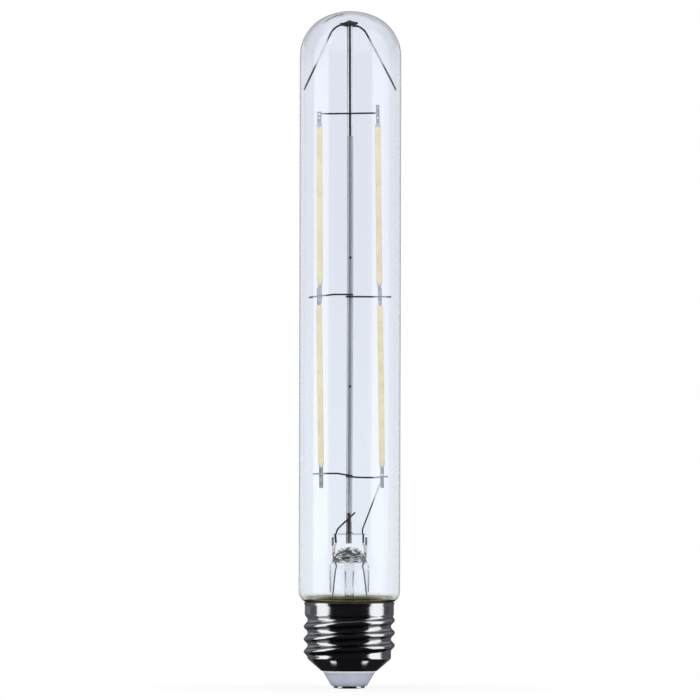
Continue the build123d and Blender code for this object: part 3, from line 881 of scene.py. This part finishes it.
board_green, start, surface = finish_of("board_laminate")
weave = start.maths("SINE", start.place("X") * 9) * start.maths("SINE", start.place("Y") * 9)
start.feed(
    surface,
    {
        "Base Color": (0.5 + 0.5 * weave).tint((0.03, 0.13, 0.06, 1), (0.05, 0.19, 0.09, 1)),
        "Roughness": 0.35 + 0.1 * start.grain(400),
        "Normal": weave.relief(0.1, 0.03 * mm),
    },
)
moulded_black, start, surface = finish_of("moulded_black")
pits = start.grain(2500)
start.feed(
    surface,
    {
        "Base Color": pits.ease(0.3, 0.7).tint((0.012, 0.012, 0.013, 1), (0.03, 0.03, 0.032, 1)),
        "Roughness": 0.5 + 0.25 * pits,
        "Normal": pits.relief(0.2, 0.03 * mm),
    },
)
can_sleeve, start, surface = finish_of("capacitor_sleeve")
scuffs = start.grain(500)
stripe = start.place("X").ease(1.0, 1.2)
start.feed(
    surface,
    {
        "Base Color": stripe.tint((0.02, 0.03, 0.07, 1), (0.45, 0.46, 0.5, 1)),
        "Roughness": 0.3 + 0.2 * scuffs,
        "Normal": scuffs.relief(0.05, 0.02 * mm),
    },
)
for node, finish in (
    ("driver_board", board_green),
    ("rectifier", moulded_black),
    ("driver_chip", moulded_black),
    ("fuse_resistor", moulded_black),
    ("capacitor", can_sleeve),
    ("contact_lead", tinned_wire),
    ("shell_lead", tinned_wire),
):
    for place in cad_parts[node].material_slots:
        place.material = finish


# Centre contact
# The end contact of the base: a small tinned brass disc, coined to a shallow dish and
# riveted through the insulator onto the driver's lead.

contact = turned(
    "centre_contact_piece",
    [
        (0, 0),
        (2.6, 0, 0.8),
        (4.5, 0.2, 0.06),
        (4.5, 0.7, 0.06),
        (1.4, 0.7),
        (1.4, 2.7),
        (0, 2.7),
    ],
    sides=96,
)
contact_tin, start, surface = finish_of("tinned_contact")
wiped = start.grain(700)
start.feed(
    surface,
    {
        "Base Color": wiped.ease(0.3, 0.7).tint((0.70, 0.70, 0.73, 1), (0.84, 0.84, 0.87, 1)),
        "Metallic": 1.0,
        "Roughness": 0.08 + 0.08 * wiped,
        "Normal": wiped.relief(0.05, 0.04 * mm),
    },
)
dress(contact, contact_tin, "contact_metal", "centre_contact")


# Insulator
# The plug that keeps the centre contact apart from the shell: heat-proof white
# plastic, moulded in one piece with a recess for the board's solder tails.

insulator = turned(
    "insulator_piece",
    [
        (1.45, 0.72),
        (5.05, 0.72, 0.5),
        (6.5, 3.03, 0.4),
        (7.66, 5.1),
        (9.5, 6.85),
        (6.9, 6.85),
        (6.9, 5.95),
        (3.8, 5.95),
        (3.8, 2.7),
        (1.45, 2.7),
    ],
    closed=True,
    sides=128,
)
moulded_white, start, surface = finish_of("moulded_white")
flow = start.grain(180, (1, 1, 1.6))
speck = start.grain(2200)
# The white plastic is painted lavender grey: painted bluish shade.
white = (0.7 * flow + 0.3 * speck).ease(0.3, 0.7).tint((0.52, 0.545, 0.67, 1), (0.60, 0.625, 0.75, 1))
# Darker towards the bottom, round the contact.
darker_bottom = 1 - start.place("Z").ease(0.7, 2.4)
# A near-white line painted round the top edge, just under the shell's mouth, is a painted highlight.
painted_top_highlight = start.place("Z").ease(4.55, 4.7)
start.feed(
    surface,
    {
        "Base Color": painted_top_highlight.tint(darker_bottom.tint(white, (0.42, 0.44, 0.52, 1)), (0.97, 0.97, 1.0, 1)),
        "Roughness": 0.35 + 0.2 * flow,
        "Normal": speck.relief(0.15, 0.03 * mm),
    },
)
dress(insulator, moulded_white, "insulator_white", "insulator")


# Screw shell
# The threaded cap: thin brass sheet drawn to a cup, the round thread rolled into it
# between two dies, the collar beaded out and the whole nickel-plated bright.


def shell_rule():
    """Geometry Nodes rule: a sheet cup whose wall follows a cone, a rolled thread and a collar."""
    tree = bpy.data.node_groups.new("rolled_shell", "GeometryNodeTree")
    sockets = tree.interface
    for label in (
        "Mouth Height", "Mouth Radius", "Cone Top", "Root Radius", "Crest Radius", "Collar Height",
        "Collar Radius", "Rim Height", "Rim Flare", "Pitch", "Thread Start", "Start Turn", "Turns",
    ):
        sockets.new_socket(label, in_out="INPUT", socket_type="NodeSocketFloat")
    sockets.new_socket("Finish", in_out="INPUT", socket_type="NodeSocketMaterial")
    sockets.new_socket("Shell", in_out="OUTPUT", socket_type="NodeSocketGeometry")
    start = Shade(tree)
    given = start.node("NodeGroupInput")
    sheet = start.node(
        "GeometryNodeMeshGrid", {}, {"Size X": 1.0, "Size Y": 1.0, "Vertices X": 181, "Vertices Y": 191}
    )
    flat = start.node("ShaderNodeSeparateXYZ", {}, {0: start.node("GeometryNodeInputPosition")})
    turn = flat.of("X") + 0.5
    rise = flat.of("Y") + 0.5
    mouth = given.of("Mouth Height")
    z = mouth + rise * (given.of("Rim Height") - mouth)
    cone = given.of("Mouth Radius") + (z - mouth) / (given.of("Cone Top") - mouth) * (
        given.of("Root Radius") - given.of("Mouth Radius")
    )
    body = start.maths("SMOOTH_MIN", cone, given.of("Root Radius"), 0.7 * mm)
    step = z.ease(given.of("Collar Height") - 1.2 * mm, given.of("Collar Height") + 0.2 * mm)
    lip = z.ease(given.of("Rim Height") - 0.9 * mm, given.of("Rim Height") - 0.1 * mm)
    body = body + step * (given.of("Collar Radius") - given.of("Root Radius"))
    body = body + lip * given.of("Rim Flare")
    climb = (z - given.of("Thread Start")) / given.of("Pitch") - turn + given.of("Start Turn")
    whole = start.maths("ROUND", climb)
    away = start.maths("ABSOLUTE", climb - whole) * given.of("Pitch")
    made = whole + turn - given.of("Start Turn")
    threaded = made.ease(0.0, 0.42) * (given.of("Turns") - made).ease(0.0, 0.42) * (1 - step)
    ridge = (1 - away.ease(0.0, 1.7 * mm)) * threaded
    radius = body + ridge * (given.of("Crest Radius") - given.of("Root Radius"))
    # The thread's flanks are marked, to be painted dark as a painted reflection.
    painted_flank_shade = (away.ease(0.3 * mm, 0.6 * mm) - away.ease(0.9 * mm, 1.2 * mm)) * threaded
    angle = turn * (2 * pi)
    place = start.node(
        "ShaderNodeCombineXYZ",
        {},
        {0: radius * start.maths("COSINE", angle), 1: radius * start.maths("SINE", angle), 2: z},
    )
    sheet = start.node(
        "GeometryNodeStoreNamedAttribute",
        {"data_type": "FLOAT", "domain": "POINT"},
        {"Geometry": sheet, "Name": "painted_flank_shade", "Value": painted_flank_shade},
    )
    shell = start.node("GeometryNodeSetPosition", {}, {"Geometry": sheet, "Position": place})
    shell = start.node("GeometryNodeMergeByDistance", {}, {"Geometry": shell, "Distance": 0.001 * mm})
    shell = start.node("GeometryNodeSetShadeSmooth", {}, {"Geometry": shell})
    shell = start.node("GeometryNodeRealizeInstances", {}, {"Geometry": shell})
    shell = start.node(
        "GeometryNodeSetMaterial", {}, {"Geometry": shell, "Material": given.of("Finish")}
    )
    start.node("NodeGroupOutput", {}, {"Shell": shell})
    return tree


bright_nickel, start, surface = finish_of("bright_nickel")
rolled = start.grain(420, (1, 1, 6))
bloom = start.grain(110)
plating = bloom.ease(0.3, 0.7).tint((0.81, 0.82, 0.845, 1), (0.92, 0.925, 0.95, 1))
painted_flank_shade = start.node("ShaderNodeAttribute", {"attribute_name": "painted_flank_shade"}, out="Fac")
# The thread's flanks are painted dark: painted dark reflection.
plating = (0.8 * painted_flank_shade).tint(plating, (0.10, 0.10, 0.11, 1))
# A dark band painted at the top of the rim is painted shade.
painted_rim_shade = start.place("Z").ease(24.68, 24.74)
start.feed(
    surface,
    {
        "Base Color": painted_rim_shade.tint(plating, (0.02, 0.02, 0.022, 1)),
        "Metallic": 1.0,
        "Roughness": 0.1 + 0.08 * bloom,
        "Normal": rolled.relief(0.03, 0.03 * mm),
    },
)
shell = grown(
    "screw_shell_piece",
    shell_rule(),
    [(0, 0, 10)],
    {
        "Mouth Height": 5.1 * mm,
        "Mouth Radius": 8.05 * mm,
        "Cone Top": 8.6 * mm,
        "Root Radius": 12.05 * mm,
        "Crest Radius": 13.15 * mm,
        "Collar Height": 21.2 * mm,
        "Collar Radius": 12.85 * mm,
        "Rim Height": 24.8 * mm,
        "Rim Flare": 0.2 * mm,
        "Pitch": 3.629 * mm,
        "Thread Start": 8.9 * mm,
        "Start Turn": 8 / 360,
        "Turns": 3.555,
        "Finish": bright_nickel,
    },
    wall=0.3,
)
dress(shell, bright_nickel, "shell_metal", "screw_shell")


# Cement
# The ring of baked basing cement between the glass neck and the collar of the shell.
# It is brushed in as a paste and set in the basing oven; its solid stays as it is.

basing_cement, start, surface = finish_of("basing_cement")
grit = start.grain(1200)
start.feed(
    surface,
    {
        "Base Color": grit.ease(0.3, 0.7).tint((0.30, 0.25, 0.17, 1), (0.46, 0.40, 0.29, 1)),
        "Roughness": 0.75 + 0.15 * grit,
        "Normal": grit.relief(0.5, 0.1 * mm),
    },
)
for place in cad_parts["basing_cement"].material_slots:
    place.material = basing_cement


# Floor, light and camera
# A plain pale floor, white all round, and soft boxes left and right with dark cards
# between them, which the glass and the plated metal mirror as bands.

floor_half = 0.6
floor_mesh = bpy.data.meshes.new("floor")
floor_corners = [(floor_half * x, floor_half * y, 0) for x, y in ((-1, -1), (1, -1), (1, 1), (-1, 1))]
floor_mesh.from_pydata(floor_corners, [], [(0, 1, 2, 3)])
floor = bpy.data.objects.new("floor", floor_mesh)
bpy.context.collection.objects.link(floor)
floor_white, start, surface = finish_of("floor_white")
start.feed(surface, {"Base Color": (0.9, 0.9, 0.9, 1), "Roughness": 1.0, "Specular IOR Level": 0.0})
rays = start.node("ShaderNodeLightPath")
seen = start.maths("MAXIMUM", rays.of("Is Camera Ray"), rays.of("Is Transmission Ray"))
white = start.node("ShaderNodeEmission", {}, {"Strength": 1.0})
where = start.node("ShaderNodeTexCoord", out="Object")
away = start.node("ShaderNodeVectorMath", {"operation": "LENGTH"}, {0: where}, out="Value")
share = seen * (0.84 + 0.16 * away.ease(0.015, 0.09))
matt = Shade(start.tree, surface.outputs[0])
mixed = start.node("ShaderNodeMixShader", {}, {0: share, 1: matt, 2: white})
start.feed(start.tree.nodes["Material Output"], {"Surface": mixed})
floor_mesh.materials.append(floor_white)
floor.visible_glossy = False
floor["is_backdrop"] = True


stage_radius = 0.9
stage_foot = -0.25
stage_top = 1.1
rear_top = 0.32
arc_steps = 24
fan_steps = 32


def card(name, corners, outside, film, within, deep):
    """Sheet that only mirrors and glass see.

    Its levels are for mirrors outside, in the wall of the glass, within it and through the stem.
    """
    mesh = bpy.data.meshes.new(name)
    count = len(corners) // 2
    mesh.from_pydata(corners, [], [(i, i + 1, count + i + 1, count + i) for i in range(count - 1)])
    sheet = bpy.data.objects.new(name, mesh)
    bpy.context.collection.objects.link(sheet)
    finish, start = finish_of(name)[:2]
    rays = start.node("ShaderNodeLightPath")
    passed = rays.of("Transmission Depth")
    straight = start.maths("COMPARE", passed, 4, 0.5)
    shown = start.maths("MAXIMUM", start.maths("MINIMUM", rays.of("Glossy Depth"), 1), 1 - straight)
    in_glass = start.maths("MINIMUM", passed, 1)
    level = outside + (film - outside) * in_glass + (within - film) * straight
    level = level + (deep - film) * start.maths("GREATER_THAN", passed, 4.5)
    hue = in_glass.tint((0.88, 0.91, 1, 1) if outside < 0.6 else (1, 1, 1, 1), (1, 1, 1, 1))
    clear = start.node("ShaderNodeBsdfTransparent")
    lit = start.node("ShaderNodeEmission", {}, {"Color": hue, "Strength": level})
    sheet_look = start.node("ShaderNodeMixShader", {}, {0: shown, 1: clear, 2: lit})
    start.feed(start.tree.nodes["Material Output"], {"Surface": sheet_look})
    mesh.materials.append(finish)
    sheet.visible_camera = False
    sheet.visible_diffuse = False
    sheet.visible_shadow = False
    sheet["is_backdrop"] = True


for name, begin, end, foot, head, levels in (
    ("front_card", -52, 53, stage_foot, stage_top, (0.011, 0.9, 0.01, 0.6)),
    ("left_soft_box", -92, -52, stage_foot, stage_top, (1.0, 1.9, 1.3, 1.2)),
    ("right_soft_box", 53, 100, stage_foot, stage_top, (1.0, 1.6, 1.2, 1.2)),
    ("left_side_card", -120, -92, stage_foot, rear_top, (0.075, 1.04, 1.03, 0.03)),
    ("right_side_card", 100, 125, stage_foot, rear_top, (0.060, 1.04, 1.03, 0.03)),
    ("left_rear_card", -162, -120, stage_foot, rear_top, (0.185, 1.04, 1.03, 0.03)),
    ("right_rear_card", 125, 162, stage_foot, rear_top, (0.100, 1.04, 1.03, 0.03)),
    ("left_far_card", -176, -162, stage_foot, rear_top, (0.155, 1.04, 1.03, 1.06)),
    ("right_far_card", 162, 176, stage_foot, rear_top, (0.096, 1.04, 1.03, 1.06)),
    ("back_card", 176, 184, stage_foot, rear_top, (0.5, 1.04, 1.03, 1.06)),
    ("upper_rear_card", 100, 268, rear_top, stage_top, (0.25, 0.74, 0.7, 1.0)),
):
    arc = [radians(begin + (end - begin) * i / arc_steps) for i in range(arc_steps + 1)]
    corners = [(stage_radius * sin(a), -stage_radius * cos(a), z) for z in (foot, head) for a in arc]
    card(name, corners, *levels)
for name, begin, end, z, near, reach, levels in (
    ("front_floor_card", -56, 56, -0.004, 0.001, 0.88, (0.007, 0.9, 0.01, 0.6)),
    ("front_top_card", -60, 60, stage_top, 0.001, stage_radius, (0.007, 0.9, 0.01, 0.6)),
    ("rear_floor_card", 95, 265, -0.0042, 0.03, 0.88, (0.10, 1.0, 1.0, 1.0)),
    ("rear_top_card", 95, 265, 1.102, 0.55, stage_radius, (0.30, 0.78, 0.7, 1.0)),
    ("top_card", 0, 360, 1.101, 0.0001, 0.55, (0.15, 0.45, 0.45, 0.45)),
    ("under_card", 0, 360, -0.0041, 0.0001, 0.03, (0.012, 0.012, 0.012, 0.012)),
):
    arc = [radians(begin + (end - begin) * i / fan_steps) for i in range(fan_steps + 1)]
    card(name, [(r * sin(a), -r * cos(a), z) for r in (near, reach) for a in arc], *levels)
for name, side in (("left_gleam", -1), ("right_gleam", 1)):
    corners = [(6.6, -7.4), (9.3, -5.4), (7.2, -8.3), (10.3, -6.2)]
    card(name, [(side * x * mm, y * mm, -0.003) for x, y in corners], 1, 1, 1, 1)

for name, place, energy in (
    ("key_left", (-1.1, -1.3, 1.2), 14),
    ("fill_right", (1.2, -1.2, 1.0), 10),
):
    lamp = bpy.data.lights.new(name, "AREA")
    lamp.shape = "DISK"
    lamp.size = 0.9
    lamp.energy = energy
    stand = bpy.data.objects.new(name, lamp)
    stand.location = place
    stand.rotation_euler = (Vector((0, 0, 0.1)) - Vector(place)).to_track_quat("-Z", "Y").to_euler()
    stand.visible_glossy = False
    stand.visible_transmission = False
    bpy.context.collection.objects.link(stand)

world = bpy.data.worlds.new("studio")
world.use_nodes = True
bpy.context.scene.world = world
start = Shade(world.node_tree)
rays = start.node("ShaderNodeLightPath")
plain = start.maths("MAXIMUM", rays.of("Is Camera Ray"), rays.of("Is Glossy Ray"))
plain = start.maths("MAXIMUM", plain, rays.of("Is Transmission Ray"))
start.feed(
    world.node_tree.nodes["Background"],
    {"Color": (1, 1, 1, 1), "Strength": 0.6 + 0.4 * plain},
)

camera = bpy.data.objects.new("camera", bpy.data.cameras.new("camera"))
camera.data.sensor_width = 36
camera.data.lens = 642.5
camera.data.clip_end = 50
camera.location = (0.00003, -3.6, 0.09755)
camera.rotation_euler = (radians(90), radians(-0.13), 0)
bpy.context.collection.objects.link(camera)
bpy.context.scene.camera = camera
bpy.context.scene.view_settings.view_transform = "Standard"

low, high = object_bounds()
